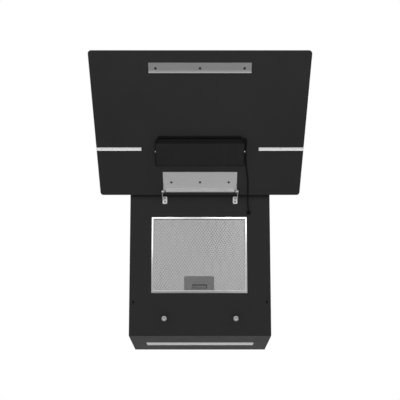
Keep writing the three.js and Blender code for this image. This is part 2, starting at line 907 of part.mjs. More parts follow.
add(panelFrame, 'glass_panel', glassPanel(), 'blackGlass');
addPair(panelFrame, 'accent_light', accentLight(), 'frosted');
add(panelFrame, 'hinge_plate', hingePlate(), 'brightSteel');
addScrewsOnGlass('hinge_plate_screw', plateScrews, plate);
const catchStrip = foldedPlate(strip, stripFold, stripScrews, strip.halfWidth);
add(panelFrame, 'catch_strip', catchStrip, 'brightSteel');
addScrewsOnGlass('catch_strip_screw', stripScrews, strip);

// ---------------------------------------------------------------- control box

// The outline of the box, with its two far corners cut off.
function boxOutline(half, near, far, cutX, cutY) {
  return [
    [-half, along(near)],
    [half, along(near)],
    [half, along(far - cutY)],
    [half - cutX, along(far)],
    [-half + cutX, along(far)],
    [-half, along(far - cutY)],
  ];
}

const touchWindow = { half: 62, near: 128, far: 162 };

function controlBoxBase() {
  const { halfWidth: half, near, far, seam, wall } = controlBox;
  const outer = boxOutline(half, near, far, 11, 17);
  const inner = boxOutline(half - wall, near + wall, far - wall, 11, 17);
  const tray = loft(outer, off(gap), outer, off(seam));
  const pocket = loft(inner, off(gap + wall), inner, off(seam + 5));
  const { half: windowHalf, near: windowNear, far: windowFar } = touchWindow;
  const window = box(-windowHalf, windowHalf, along(windowNear), along(windowFar), -20, 20);
  return cut(tray, pocket, window);
}

const endScrew = { along: 150, off: 15, seat: 128.8 };

function controlBoxCover() {
  const { near, far, seam, height: top, wall } = controlBox;
  const low = seam + gap;
  // Each outline is half the width, the near and far sides, and how far its corners are cut.
  const foot = [129, near + 1.5, far - 3, 11, 16];
  const crown = [125.5, 114, 181, 2.5, 2.5];
  const rebate = { depth: 1.1, height: 3.5 };
  const share = rebate.height / (top - low);
  const shoulder = foot.map((value, i) => value + (crown[i] - value) * share);
  const shrunk = (outline, by) =>
    boxOutline(outline[0] - by, outline[1] + by, outline[2] - by, outline[3], outline[4]);
  const outer = join(
    loft(boxOutline(...shoulder), off(low + rebate.height), boxOutline(...crown), off(top)),
    loft(
      shrunk(shoulder, rebate.depth),
      off(low),
      shrunk(shoulder, rebate.depth),
      off(low + rebate.height + 0.2),
    ),
  );
  const inner = loft(shrunk(foot, 3.8), off(low - 0.5), shrunk(crown, wall), off(top - wall));
  const screwHoles = alongX(rod(1.8, -140, 140, 8)).translate(
    0,
    along(endScrew.along),
    off(endScrew.off),
  );
  return cut(outer, inner, screwHoles);
}

function controlBoard() {
  const low = off(9);
  const pieces = [box(-100, 100, along(118), along(172), low, low + 1.6)];
  for (const x of [-92, 92]) {
    for (const distance of [124, 166]) {
      const leg = rod(3, off(gap + controlBox.wall + gap), low + 0.5, 8);
      pieces.push(leg.translate(x, along(distance), 0));
    }
  }
  pieces.push(box(-14, 14, along(132), along(160), low + 1, low + 4));
  pieces.push(box(40, 62, along(128), along(146), low + 1, low + 9));
  pieces.push(box(-70, -50, along(150), along(164), low + 1, low + 8));
  return join(...pieces);
}

function touchDisplay() {
  const { half, near, far } = touchWindow;
  return box(-half + 0.5, half - 0.5, along(near) + 0.5, along(far) - 0.5, off(gap), off(2.4));
}

add(panelFrame, 'control_box_base', controlBoxBase(), 'blackPlastic');
add(panelFrame, 'control_box_cover', controlBoxCover(), 'blackPlastic');
add(panelFrame, 'control_board', controlBoard(), 'board');
add(panelFrame, 'touch_display', touchDisplay(), 'blackPlastic');
const endScrewShape = alongX(screw(3.4, 2, 1.4, 8)).translate(
  endScrew.seat,
  along(endScrew.along),
  off(endScrew.off),
);
addPair(panelFrame, 'control_box_screw', endScrewShape, 'brightSteel');

// ---------------------------------------------------------------- control cable

// The cable's middle line. First x, distance from the glass's hinge edge, distance off the
// glass; then x, distance up the face, distance off the face.
const cableOnGlass = [
  [125.6, 184.5, 5],
  [129.4, 186.6, 5.3],
  [133.6, 186.4, 5.8],
  [136.2, 182.8, 6.2],
  [136.2, 177, 6.4],
  [134.6, 168, 6.5],
  [133.4, 157, 6.5],
  [133, 146, 6.4],
  [133.1, 134, 6.2],
  [133.6, 122, 5.8],
  [134.6, 110, 5.1],
  [136.2, 97, 4.2],
  [138.6, 83, 3.4],
  [141.2, 67, 2.9],
  [143, 51, 2.7],
  [144, 36, 2.9],
  [144.4, 22, 3.3],
];
const cableOnFace = [
  [144.8, 425.4, 24.6],
  [145, 414.6, 18],
  [145.2, 404.4, 12.4],
  [145.7, 394, 8.6],
  [146.8, 384, 8],
  [148, 375.8, 8.8],
  [148.5, 370.4, 6.6],
  [148.5, 368.8, 1],
  [148.5, 368.7, -8],
];

function controlCable() {
  panelFrame.updateMatrix();
  const onGlass = cableOnGlass.map(([x, distance, offGlass]) =>
    new THREE.Vector3(x, along(distance), off(offGlass)).applyMatrix4(panelFrame.matrix));
  const onFace = cableOnFace.map(([x, y, z]) => new THREE.Vector3(x, y, z));
  const line = new THREE.CatmullRomCurve3([...onGlass, ...onFace]);
  const section = new THREE.Shape().absarc(0, 0, cableRadius, 0, Math.PI * 2);
  const options = { steps: 50, curveSegments: 4, bevelEnabled: false, extrudePath: line };
  return new THREE.ExtrudeGeometry(section, options);
}

add(faceFrame, 'control_cable', controlCable(), 'rubber');

export default hood;
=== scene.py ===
"""An inclined wall cooker hood with its black glass front swung open, seen from below.

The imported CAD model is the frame. Pieces are built in millimetres, in one of the frames that
the CAD part uses: HOUSING, FACE (x across, y up the inclined face, z outward) and PANEL
(x across, y along the glass away from its hinge, z off its inner side). They are then placed in
the row frame, in metres. The camera, the lights and the materials' noise are in metres too.
"""

import math

import bmesh
import bpy
from mathutils import Euler, Matrix, Vector


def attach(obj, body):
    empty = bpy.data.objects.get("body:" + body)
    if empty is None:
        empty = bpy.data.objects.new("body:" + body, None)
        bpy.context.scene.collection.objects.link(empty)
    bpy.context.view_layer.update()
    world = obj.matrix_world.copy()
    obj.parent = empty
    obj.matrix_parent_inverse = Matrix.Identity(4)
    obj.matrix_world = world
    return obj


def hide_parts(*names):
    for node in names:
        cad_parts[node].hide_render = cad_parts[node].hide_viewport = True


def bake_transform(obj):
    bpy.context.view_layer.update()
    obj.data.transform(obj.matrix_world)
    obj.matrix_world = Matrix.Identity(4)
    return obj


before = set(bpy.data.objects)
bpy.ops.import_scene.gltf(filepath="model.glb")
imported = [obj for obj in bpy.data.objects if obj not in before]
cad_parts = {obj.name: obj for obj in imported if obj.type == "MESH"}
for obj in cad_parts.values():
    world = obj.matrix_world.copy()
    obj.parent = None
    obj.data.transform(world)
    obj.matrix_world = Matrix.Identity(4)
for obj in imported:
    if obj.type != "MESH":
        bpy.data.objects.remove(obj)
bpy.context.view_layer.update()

# ---------------------------------------------------------------- driving dimensions

MM = 0.001
GAP = 0.3
HANG_HEIGHT = 360.0
TILT = 20.0
DEPTH = 200.0
FACE_LENGTH = 446.0
HOUSING_HALF = 213.0
OPEN_ANGLE = 145.5
HINGE_ALONG, HINGE_OFF = 430.0, 32.0
GLASS_OFF, OVERHANG = 8.0, 16.0
GLASS_HALF, GLASS_LENGTH, GLASS_THICK, GLASS_CORNER = 301.5, 438.0, 4.0, 9.0
BAR_INNER, BAR_NEAR, BAR_FAR = 171.0, 145.8, 156.9
FITTING_SHEET, PLATE_PAN = 1.5, 0.5
OUTLET_Y, OUTLET_FLANGE = -185.0, 1.5
COLLAR_SCREW_RING, COLLAR_SCREW_TURNS = 81.6, (60, 180, 300)
TOP = FACE_LENGTH * math.cos(math.radians(TILT))
ON_TOP = TOP + GAP

HOUSING = Matrix.Translation((0, 0, -HANG_HEIGHT))
FACE = (
    HOUSING
    @ Matrix.Translation((0, -DEPTH, 0))
    @ Matrix.Rotation(math.radians(90 + TILT), 4, "X")
)
PANEL = (
    FACE
    @ Matrix.Translation((0, HINGE_ALONG, HINGE_OFF))
    @ Matrix.Rotation(math.radians(180 - OPEN_ANGLE), 4, "X")
)
TO_METRES = Matrix.Scale(MM, 4)


def along(distance):
    """A place along the glass, from its hinge edge, in the PANEL frame."""
    return distance - OVERHANG


def off(distance):
    """A height off the glass's inner side, in the PANEL frame."""
    return distance - GLASS_OFF


# ---------------------------------------------------------------- camera

CAMERA_PLACE = (0.0, -1.9302, -0.7552)
CAMERA_PITCH = 26.08
CAMERA_LENS = 52.06
CAMERA_SENSOR = 36.0


def make_camera():
    data = bpy.data.cameras.new("camera")
    data.lens = CAMERA_LENS
    data.sensor_width = CAMERA_SENSOR
    camera = bpy.data.objects.new("camera", data)
    camera.location = CAMERA_PLACE
    camera.rotation_euler = Euler((math.radians(90 + CAMERA_PITCH), 0, 0))
    bpy.context.scene.collection.objects.link(camera)
    bpy.context.scene.camera = camera


make_camera()

# ---------------------------------------------------------------- materials

NOISE_LOW, NOISE_HIGH = 0.3, 0.7


class Surface:
    """A principled material whose colour, roughness and relief come from noise in metres."""

    def __init__(self, name, colour, roughness, metallic=0.0, specular=0.5):
        self.material = bpy.data.materials.new(name)
        self.material.use_nodes = True
        self.tree = self.material.node_tree
        self.shader = self.tree.nodes["Principled BSDF"]
        self.set("Base Color", (*colour, 1.0))
        self.set("Roughness", roughness)
        self.set("Metallic", metallic)
        self.set("Specular IOR Level", specular)
        self.colour = colour
        self.place = self.node("ShaderNodeTexCoord").outputs["Object"]
        self.heights = []

    def node(self, kind, **values):
        made = self.tree.nodes.new(kind)
        for key, value in values.items():
            setattr(made, key, value)
        return made

    def set(self, socket, value):
        self.shader.inputs[socket].default_value = value

    def link(self, source, target):
        self.tree.links.new(source, target)

    def noise(self, scale, detail=2.0, stretch=None):
        """Noise with about `scale` lumps to the metre, drawn out by the share in stretch."""
        made = self.node("ShaderNodeTexNoise")
        made.inputs["Scale"].default_value = scale
        made.inputs["Detail"].default_value = detail
        source = self.place
        if stretch:
            mapping = self.node("ShaderNodeMapping")
            mapping.inputs["Scale"].default_value = stretch
            self.link(source, mapping.inputs["Vector"])
            source = mapping.outputs["Vector"]
        self.link(source, made.inputs["Vector"])
        return made.outputs["Fac"]

    def ranged(self, value, low, high):
        """A noise value's usual range spread from low to high."""
        made = self.node("ShaderNodeMapRange")
        made.inputs["From Min"].default_value = NOISE_LOW
        made.inputs["From Max"].default_value = NOISE_HIGH
        made.inputs["To Min"].default_value = low
        made.inputs["To Max"].default_value = high
        self.link(value, made.inputs["Value"])
        return made.outputs["Result"]

    def vary_colour(self, scale, share, stretch=None):
        """The colour drifts by that share either way."""
        mix = self.node("ShaderNodeMix", data_type="RGBA")
        dark = [c * (1 - share) for c in self.colour]
        light = [min(1.0, c * (1 + share)) for c in self.colour]
        mix.inputs["A"].default_value = (*dark, 1.0)
        mix.inputs["B"].default_value = (*light, 1.0)
        self.link(self.ranged(self.noise(scale, 3.0, stretch), 0.0, 1.0), mix.inputs["Factor"])
        self.link(mix.outputs["Result"], self.shader.inputs["Base Color"])
        return self

    def vary_roughness(self, scale, low, high, stretch=None):
        value = self.ranged(self.noise(scale, 3.0, stretch), low, high)
        self.link(value, self.shader.inputs["Roughness"])
        return self

    def relief(self, scale, height_mm, detail=2.0, stretch=None):
        """A bump of that height. Several reliefs add up, the first one coarsest."""
        self.heights.append((self.noise(scale, detail, stretch), height_mm * MM))
        normal = None
        for source, height in self.heights:
            bump = self.node("ShaderNodeBump")
            bump.inputs["Strength"].default_value = 1.0
            bump.inputs["Distance"].default_value = height
            self.link(source, bump.inputs["Height"])
            if normal:
                self.link(normal, bump.inputs["Normal"])
            normal = bump.outputs["Normal"]
        self.link(normal, self.shader.inputs["Normal"])
        return self


def grey(value):
    return (value, value, value)


ROLLED_ALONG_X = (1.0, 40.0, 40.0)


def powder_coat(name, value):
    made = Surface(name, grey(value), 0.55, specular=0.17)
    made.vary_colour(9.0, 0.03).vary_roughness(25.0, 0.54, 0.59)
    return made.relief(900.0, 0.012).material


def back_painted_glass():
    made = Surface("back_painted_glass", grey(0.0088), 0.42, specular=0.13)
    made.vary_colour(6.0, 0.05).vary_roughness(14.0, 0.36, 0.5)
    return made.relief(500.0, 0.003).material


def polished_glass():
    made = Surface("polished_black_glass", grey(0.006), 0.05, specular=0.5)
    return made.vary_roughness(12.0, 0.03, 0.09).relief(30.0, 0.002).material


def satin_steel(name, value, rough=0.36):
    made = Surface(name, grey(value), rough, metallic=1.0)
    made.vary_colour(18.0, 0.05, ROLLED_ALONG_X)
    made.vary_roughness(30.0, rough - 0.06, rough + 0.07, ROLLED_ALONG_X)
    return made.relief(90.0, 0.004, 3.0, ROLLED_ALONG_X).material


def galvanised():
    made = Surface("galvanised", grey(0.46), 0.42, metallic=1.0)
    made.vary_colour(120.0, 0.16).vary_roughness(160.0, 0.3, 0.55)
    return made.relief(220.0, 0.01).material


def expanded_aluminium(name, value):
    made = Surface(name, grey(value), 0.36, metallic=1.0)
    made.vary_colour(420.0, 0.14).vary_roughness(300.0, 0.28, 0.5)
    return made.relief(900.0, 0.02).material


def layered_mesh():
    """The sheets behind the front one, drawn on a flat slab: bright diagonal strands over dark
    gaps, the gaps' darkness painted shade.
    """
    made = Surface("layered_aluminium_gap_shade", grey(0.16), 0.5, metallic=0.9)
    strand_turn, strand_scale = 57, 92.0
    waves = []
    for side in (-1, 1):
        turn = (math.radians(-90 - TILT), 0, math.radians(strand_turn * side))
        mapping = made.node("ShaderNodeMapping")
        mapping.inputs["Rotation"].default_value = turn
        made.link(made.place, mapping.inputs["Vector"])
        wave = made.node("ShaderNodeTexWave")
        wave.inputs["Scale"].default_value = strand_scale
        made.link(mapping.outputs["Vector"], wave.inputs["Vector"])
        waves.append(wave.outputs["Fac"])
    most = made.node("ShaderNodeMath", operation="MAXIMUM")
    made.link(waves[0], most.inputs[0])
    made.link(waves[1], most.inputs[1])
    ramp = made.node("ShaderNodeValToRGB")
    # The gaps' near-black is painted shade, standing for the depth of the layers behind.
    shaded_gap_and_strand = ((0.55, 0.05), (0.85, 0.5))
    for stop, (position, value) in zip(ramp.color_ramp.elements, shaded_gap_and_strand):
        stop.position = position
        stop.color = (*grey(value), 1)
    made.link(most.outputs[0], ramp.inputs["Fac"])
    made.link(ramp.outputs["Color"], made.shader.inputs["Base Color"])
    made.vary_roughness(300.0, 0.4, 0.6)
    return made.relief(900.0, 0.02).material


def moulded(name, colour, rough, grain_mm=0.02, specular=0.4):
    made = Surface(name, colour, rough, specular=specular)
    made.vary_colour(40.0, 0.06).vary_roughness(60.0, rough - 0.06, rough + 0.07)
    return made.relief(1500.0, grain_mm).material


def frosted(name, value):
    made = Surface(name, grey(value), 0.42, specular=0.4)
    made.set("Subsurface Weight", 0.25)
    made.set("Subsurface Radius", (0.004, 0.004, 0.004))
    made.set("Subsurface Scale", 1.0)
    made.vary_colour(60.0, 0.02).vary_roughness(90.0, 0.36, 0.5)
    return made.relief(1200.0, 0.006).material


BLACK = powder_coat("black_powder_coat", 0.006)
UNDERSIDE = powder_coat("underside_powder_coat", 0.0125)
PAINTED_GLASS = back_painted_glass()
GLASS = polished_glass()
ZINC = satin_steel("zinc_plated_steel", 0.9)
# The hinge plate's fold in a darker copy of the zinc-plated steel: painted shade.
SHADED_ZINC_FOLD = satin_steel("zinc_fold_painted_shade", 0.56)
# The catch strip in a darker copy of the zinc-plated steel, and its fold darker still: painted
# shade.
SHADED_STRIP_STEEL = satin_steel("strip_steel_painted_shade", 0.5, 0.4)
SHADED_STRIP_FOLD = satin_steel("strip_fold_painted_shade", 0.36, 0.4)
BRIGHT = satin_steel("bright_screw_steel", 0.85, 0.28)
MAGNET = satin_steel("magnet_steel", 0.5, 0.32)
DULL_SCREW = satin_steel("dull_screw_steel", 0.3, 0.45)
RIM = satin_steel("rolled_aluminium", 0.68, 0.3)
GALVANISED = galvanised()
EXPANDED = expanded_aluminium("expanded_aluminium", 0.42)
BACK_MESH = expanded_aluminium("back_mesh_aluminium", 0.62)
PACK = layered_mesh()
LATCH = moulded("latch_plastic", grey(0.057), 0.55)
BLACK_PLASTIC = moulded("black_plastic", grey(0.0056), 0.5, specular=0.13)
WHITE_PLASTIC = moulded("white_plastic", (0.66, 0.66, 0.64), 0.45)
BAR = frosted("frosted_bar", 0.33)
LENS = frosted("frosted_lens", 0.283)
BLACK_SCREW = satin_steel("black_oxide", 0.035, 0.4)
FACE_SCREW = moulded("black_lacquer", grey(0.0022), 0.6, specular=0.11)
ARM = satin_steel("plated_arm_steel", 0.7, 0.4)
# The control box cover's far side in a darker copy of the black plastic: painted shade.
SHADED_PLASTIC = moulded("black_plastic_painted_shade", grey(0.0032), 0.55, specular=0.12)
# The control box base in a darker copy of the black plastic: painted shade.
SHADED_BASE_PLASTIC = moulded("base_plastic_painted_shade", grey(0.0028), 0.55, specular=0.15)
RUBBER = moulded("black_rubber", grey(0.0017), 0.7, 0.01, 0.12)
# Black rubber for the joint strip, which stands for the dark line of shade under the glass's hinge
# edge: a painted shadow.
SHADOW_LINE_RUBBER = moulded("painted_shadow_line_rubber", grey(0.003), 0.7, 0.01, 0.15)
BOARD = moulded("solder_mask", (0.014, 0.07, 0.025), 0.4)
ICON = moulded("icon_print", grey(0.55), 0.4, 0.0)

# ---------------------------------------------------------------- mesh helpers


WELD_DISTANCE, FLAT_ANGLE = 0.002, 0.5
SMOOTH_BELOW, ROUND_ABOVE = 34.0, 32


def cad_copy(node, where):
    """A CAD node's shape, in millimetres in the frame given, with its flat faces whole."""
    bm = bmesh.new()
    bm.from_mesh(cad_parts[node].data)
    bm.transform((TO_METRES @ where).inverted())
    bmesh.ops.remove_doubles(bm, verts=bm.verts, dist=WELD_DISTANCE)
    bmesh.ops.dissolve_limit(
        bm,
        angle_limit=math.radians(FLAT_ANGLE),
        verts=bm.verts,
        edges=bm.edges,
    )
    return bm


def add_shape(bm, shape, where=None):
    """Puts a second shape into the first, moved if asked, and frees it."""
    if where is not None:
        shape.transform(where)
    spare = bpy.data.meshes.new("spare")
    shape.to_mesh(spare)
    shape.free()
    bm.from_mesh(spare)
    bpy.data.meshes.remove(spare)


def smooth_shaded(mesh, angle=SMOOTH_BELOW):
    """Smooth shading, with a sharp edge where the surface turns by more than the angle."""
    mesh.polygons.foreach_set("use_smooth", [True] * len(mesh.polygons))
    mesh.set_sharp_from_angle(angle=math.radians(angle))


def piece(name, bm, where, body, materials, nodes=(), edge=0.0, segments=2):
    """Places a shape in the row frame, as a piece that rides on a body, with rounded edges."""
    bm.transform(TO_METRES @ where)
    bmesh.ops.recalc_face_normals(bm, faces=bm.faces)
    mesh = bpy.data.meshes.new(name)
    bm.to_mesh(mesh)
    bm.free()
    for material in materials if isinstance(materials, list) else [materials]:
        mesh.materials.append(material)
    made = bpy.data.objects.new(name, mesh)
    bpy.context.scene.collection.objects.link(made)
    if edge:
        round_edges(made, edge, segments)
    else:
        smooth_shaded(mesh)
    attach(made, body)
    if nodes:
        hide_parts(*nodes)
    return made


def round_edges(made, width, segments):
    """Rounds every edge that turns by more than ROUND_ABOVE, and keeps the flats flat."""
    smooth_shaded(made.data, 180)
    edge = made.modifiers.new("rounded", "BEVEL")
    edge.width = width * MM
    edge.segments = segments
    edge.limit_method = "ANGLE"
    edge.angle_limit = math.radians(ROUND_ABOVE)
    edge.use_clamp_overlap = False
    edge.face_strength_mode = "FSTR_ALL"
    weighted = made.modifiers.new("flats", "WEIGHTED_NORMAL")
    weighted.use_face_influence = True


def refined(node, where, body, material, width, segments=2):
    """The CAD shape with its edges rounded, in place of the CAD node."""
    bm = cad_copy(node, where)
    piece(f"{node}_finished", bm, where, body, material, [node], width, segments)


def two_toned(node, materials, is_second, width, cut=None):
    """The CAD shape on the glass, rounded. The faces picked take the second material: in each use
    here, a copy of the first in another tone, as painted light and shade.

    A cut across the shape, at a place along the glass, gives the picked faces a clean border.
    """
    bm = cad_copy(node, PANEL)
    if cut is not None:
        everything = [*bm.verts, *bm.edges, *bm.faces]
        bmesh.ops.bisect_plane(bm, geom=everything, plane_co=(0, cut, 0), plane_no=(0, 1, 0))
    for face in bm.faces:
        if is_second(face):
            face.material_index = 1
    piece(f"{node}_finished", bm, PANEL, "panel", materials, [node], width, 3)


def folded_sheet(node, materials, fold_start, width):
    """A plate on the glass, of two materials: the sheet, and the fold that stands off it, drawn in
    a darker copy of the sheet's metal as painted shade.
    """
    sheet_top = off(GAP + FITTING_SHEET)

    def in_fold(face):
        return face.calc_center_median().z > sheet_top + fold_start

    two_toned(node, materials, in_fold, width)


def turned(profile, segments=48):
    """A turned shape on the z axis, from [radius, z] pairs.

    The pairs start and end on the axis, or the last is the first again.
    """
    bm = bmesh.new()
    closed = profile[0] == profile[-1]
    turns = [2 * math.pi * i / segments for i in range(segments)]
    rings = []
    for radius, z in profile[:-1] if closed else profile:
        if radius == 0:
            rings.append([bm.verts.new((0, 0, z))])
        else:
            ring = [(radius * math.cos(a), radius * math.sin(a), z) for a in turns]
            rings.append([bm.verts.new(point) for point in ring])
    if closed:
        rings.append(rings[0])
    for low, high in zip(rings, rings[1:]):
        for i in range(segments):
            j = (i + 1) % segments
            below = [low[i % len(low)], low[j % len(low)]]
            above = [high[j % len(high)], high[i % len(high)]]
            unique = list(dict.fromkeys(below + above))
            if len(unique) > 2:
                bm.faces.new(unique)
    return bm


def turned_piece(node, profile, where, body, material, segments=48):
    """A turned shape in place of a round CAD node."""
    bm = turned(profile, segments)
    piece(f"{node}_finished", bm, where, body, material, [node])


def extruded(outline, z0, z1):
    """A flat outline of [x, y] pairs given thickness."""
    bm = bmesh.new()
    low = [bm.verts.new((x, y, z0)) for x, y in outline]
    high = [bm.verts.new((x, y, z1)) for x, y in outline]
    bm.faces.new(low[::-1])
    bm.faces.new(high)
    for i in range(len(outline)):
        j = (i + 1) % len(outline)
        bm.faces.new((low[i], low[j], high[j], high[i]))
    return bm


def arc(x, y, radius, start, end, steps):
    """Points on an arc, with both ends, from one angle to another in degrees."""
    turns = [math.radians(start + (end - start) * i / steps) for i in range(steps + 1)]
    return [(x + radius * math.cos(a), y + radius * math.sin(a)) for a in turns]


AXIS_X = Matrix.Rotation(math.radians(90), 4, "Y")


def side_name(side):
    return "left" if side < 0 else "right"


# ---------------------------------------------------------------- control cable

CABLE_RADIUS = 2.0
CABLE_STEPS, CABLE_SIDES = 6, 16
CABLE_ON_GLASS = [
    (125.6, 184.5, 5),
    (129.2, 185.4, 5.3),
    (131.9, 184.4, 5.8),
    (133.1, 181.4, 6.2),
    (133.1, 176.4, 6.4),
    (133.2, 168, 6.5),
    (132.9, 157, 6.5),
    (133, 146, 6.4),
    (133.1, 134, 6.2),
    (133.6, 122, 5.8),
    (134.6, 110, 5.1),
    (136.2, 97, 4.2),
    (138.6, 83, 3.4),
    (141.2, 67, 2.9),
    (143, 51, 2.7),
    (144, 36, 2.9),
    (144.4, 22, 3.3),
]
CABLE_ON_FACE = [
    (144.8, 425.4, 24.6),
    (145, 414.6, 18),
    (145.2, 404.4, 12.4),
    (145.7, 394, 8.6),
    (146.8, 384, 8),
    (148, 375.8, 8.8),
    (148.5, 370.4, 6.6),
    (148.5, 368.8, 1),
    (148.5, 368.7, -8),
]


def smooth_line(points, steps):
    """A centripetal spline through the points, with that many steps between each two."""
    ends = [2 * points[0] - points[1], *points, 2 * points[-1] - points[-2]]
    line = []
    for p0, p1, p2, p3 in zip(ends, ends[1:], ends[2:], ends[3:]):
        t1 = max((p1 - p0).length, 1e-6) ** 0.5
        t2 = t1 + max((p2 - p1).length, 1e-6) ** 0.5
        t3 = t2 + max((p3 - p2).length, 1e-6) ** 0.5
        for i in range(steps):
            t = t1 + (t2 - t1) * i / steps
            a1 = p0 * ((t1 - t) / t1) + p1 * (t / t1)
            a2 = p1 * ((t2 - t) / (t2 - t1)) + p2 * ((t - t1) / (t2 - t1))
            a3 = p2 * ((t3 - t) / (t3 - t2)) + p3 * ((t - t2) / (t3 - t2))
            b1 = a1 * ((t2 - t) / t2) + a2 * (t / t2)
            b2 = a2 * ((t3 - t) / (t3 - t1)) + a3 * ((t - t1) / (t3 - t1))
            line.append(b1 * ((t2 - t) / (t2 - t1)) + b2 * ((t - t1) / (t2 - t1)))
    return [*line, points[-1]]


def swept(line, radius, sides):
    """A closed tube along a line. Each ring is carried over from the last without twist."""
    bm = bmesh.new()
    across = Vector((1, 0, 0))
    rings = []
    for i, point in enumerate(line):
        ahead = (line[min(i + 1, len(line) - 1)] - line[max(i - 1, 0)]).normalized()
        across = (across - ahead * across.dot(ahead)).normalized()
        up = ahead.cross(across)
        ring = []
        for k in range(sides):
            angle = 2 * math.pi * k / sides
            outward = across * math.cos(angle) + up * math.sin(angle)
            ring.append(bm.verts.new(point + outward * radius))
        rings.append(ring)
    for low, high in zip(rings, rings[1:]):
        for k in range(sides):
            j = (k + 1) % sides
            bm.faces.new((low[k], low[j], high[j], high[k]))
    bm.faces.new(rings[0][::-1])
    bm.faces.new(rings[-1])
    return bm


def control_cable():
    """The one cord. It rides on both bodies, so it doesn't go through piece()."""
    on_glass = [PANEL @ Vector((x, along(y), off(z))) for x, y, z in CABLE_ON_GLASS]
    on_face = [FACE @ Vector(p) for p in CABLE_ON_FACE]
    line = smooth_line([*on_glass, *on_face], CABLE_STEPS)
    bm = swept(line, CABLE_RADIUS, CABLE_SIDES)
    bm.transform(TO_METRES)
    bmesh.ops.recalc_face_normals(bm, faces=bm.faces)
    mesh = bpy.data.meshes.new("control_cable_finished")
    bm.to_mesh(mesh)
    bm.free()
    smooth_shaded(mesh, 50)
    mesh.materials.append(RUBBER)
    cable = bpy.data.objects.new("control_cable_finished", mesh)
    bpy.context.scene.collection.objects.link(cable)
    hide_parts("control_cable")
    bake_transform(cable)


control_cable()

# ---------------------------------------------------------------- screws

HEAD_SEGMENTS = 32
HEAD_SIDE, HEAD_DOME = 0.25, 0.75
CROSS_LONG, CROSS_SHORT, CROSS_FLOOR = 0.58, 0.13, 0.35


def screw_profile(radius, height, shank_radius, shank_length):
    dome = []
    for degrees in range(0, 90, 15):
        a = math.radians(degrees)
        dome.append((radius * math.cos(a), height * (HEAD_SIDE + HEAD_DOME * math.sin(a))))
    return [
        (0, -shank_length),
        (shank_radius - 0.3, -shank_length),
        (shank_radius, -shank_length + 0.4),
        (shank_radius, 0),
        (radius - 0.1, 0),
        (radius, 0.12),
        *dome,
        (0, height),
    ]


def cross_cutter(radius, height):
    long, short = radius * CROSS_LONG, radius * CROSS_SHORT
    outline = []
    for quarter in range(4):
        turn = Matrix.Rotation(math.radians(90 * quarter), 2)
        for corner in ((short, short), (short, long), (-short, long)):
            outline.append(turn @ Vector(corner))
    return extruded([(p.x, p.y) for p in reversed(outline)], height * CROSS_FLOOR, height + 1)


def loose_object(name, bm):
    """A plain object of a shape, for a modifier to work on."""
    bmesh.ops.recalc_face_normals(bm, faces=bm.faces)
    mesh = bpy.data.meshes.new(name)
    bm.to_mesh(mesh)
    bm.free()
    made = bpy.data.objects.new(name, mesh)
    bpy.context.scene.collection.objects.link(made)
    return made


def cross_head(name, radius, height, shank_radius, shank_length):
    """A pan-head screw with a cross recess, on the z axis, its head sitting on z = 0."""
    profile = screw_profile(radius, height, shank_radius, shank_length)
    plain = loose_object(name, turned(profile, HEAD_SEGMENTS))
    tool = loose_object("cross", cross_cutter(radius, height))
    cut = plain.modifiers.new("cross", "BOOLEAN")
    cut.object = tool
    cut.operation = "DIFFERENCE"
    cut.solver = "EXACT"
    bpy.context.view_layer.update()
    ready = plain.evaluated_get(bpy.context.evaluated_depsgraph_get())
    mesh = bpy.data.meshes.new_from_object(ready)
    mesh.transform(TO_METRES)
    smooth_shaded(mesh, 40)
    bpy.data.objects.remove(plain)
    bpy.data.objects.remove(tool)
    return mesh


def place_screw(node, mesh, where, point, turn, material, body, lean=None):
    """One screw, its head seated at a point of the frame and its cross turned by some degrees."""
    own = mesh.copy()
    own.materials.clear()
    own.materials.append(material)
    made = bpy.data.objects.new(f"{node}_finished", own)
    bpy.context.scene.collection.objects.link(made)
    seat = where @ Matrix.Translation(point) @ (lean or Matrix.Identity(4))
    seat = seat @ Matrix.Rotation(math.radians(turn), 4, "Z")
    seat.translation = seat.translation * MM
    made.matrix_world = seat
    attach(made, body)
    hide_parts(node)


def sheet_screws():
    mesh = cross_head("sheet_screw", 3.3, 1.4, 1.8, 1.6)
    for name, xs, distance, thick in (
        ("hinge_plate_screw", (-86, 0, 86), 44, FITTING_SHEET - PLATE_PAN),
        ("catch_strip_screw", (-121, 0, 121), 390, FITTING_SHEET),
    ):
        for i, x in enumerate(xs):
            node = f"{name}_{i + 1}"
            seat = (x, along(distance), off(GAP) + thick + GAP)
            turn = 17 + 31 * i + distance
            place_screw(node, mesh, PANEL, seat, turn, BLACK_SCREW, "panel")


def collar_screws():
    mesh = cross_head("collar_screw", 3.0, 1.4, 1.4, 4.9)
    for i, degrees in enumerate(COLLAR_SCREW_TURNS):
        node = f"collar_screw_{i + 1}"
        a = math.radians(degrees)
        x, y = COLLAR_SCREW_RING * math.cos(a), COLLAR_SCREW_RING * math.sin(a)
        seat = (x, OUTLET_Y + y, ON_TOP + OUTLET_FLANGE + GAP)
        place_screw(node, mesh, HOUSING, seat, 23 * i, BRIGHT, "housing")


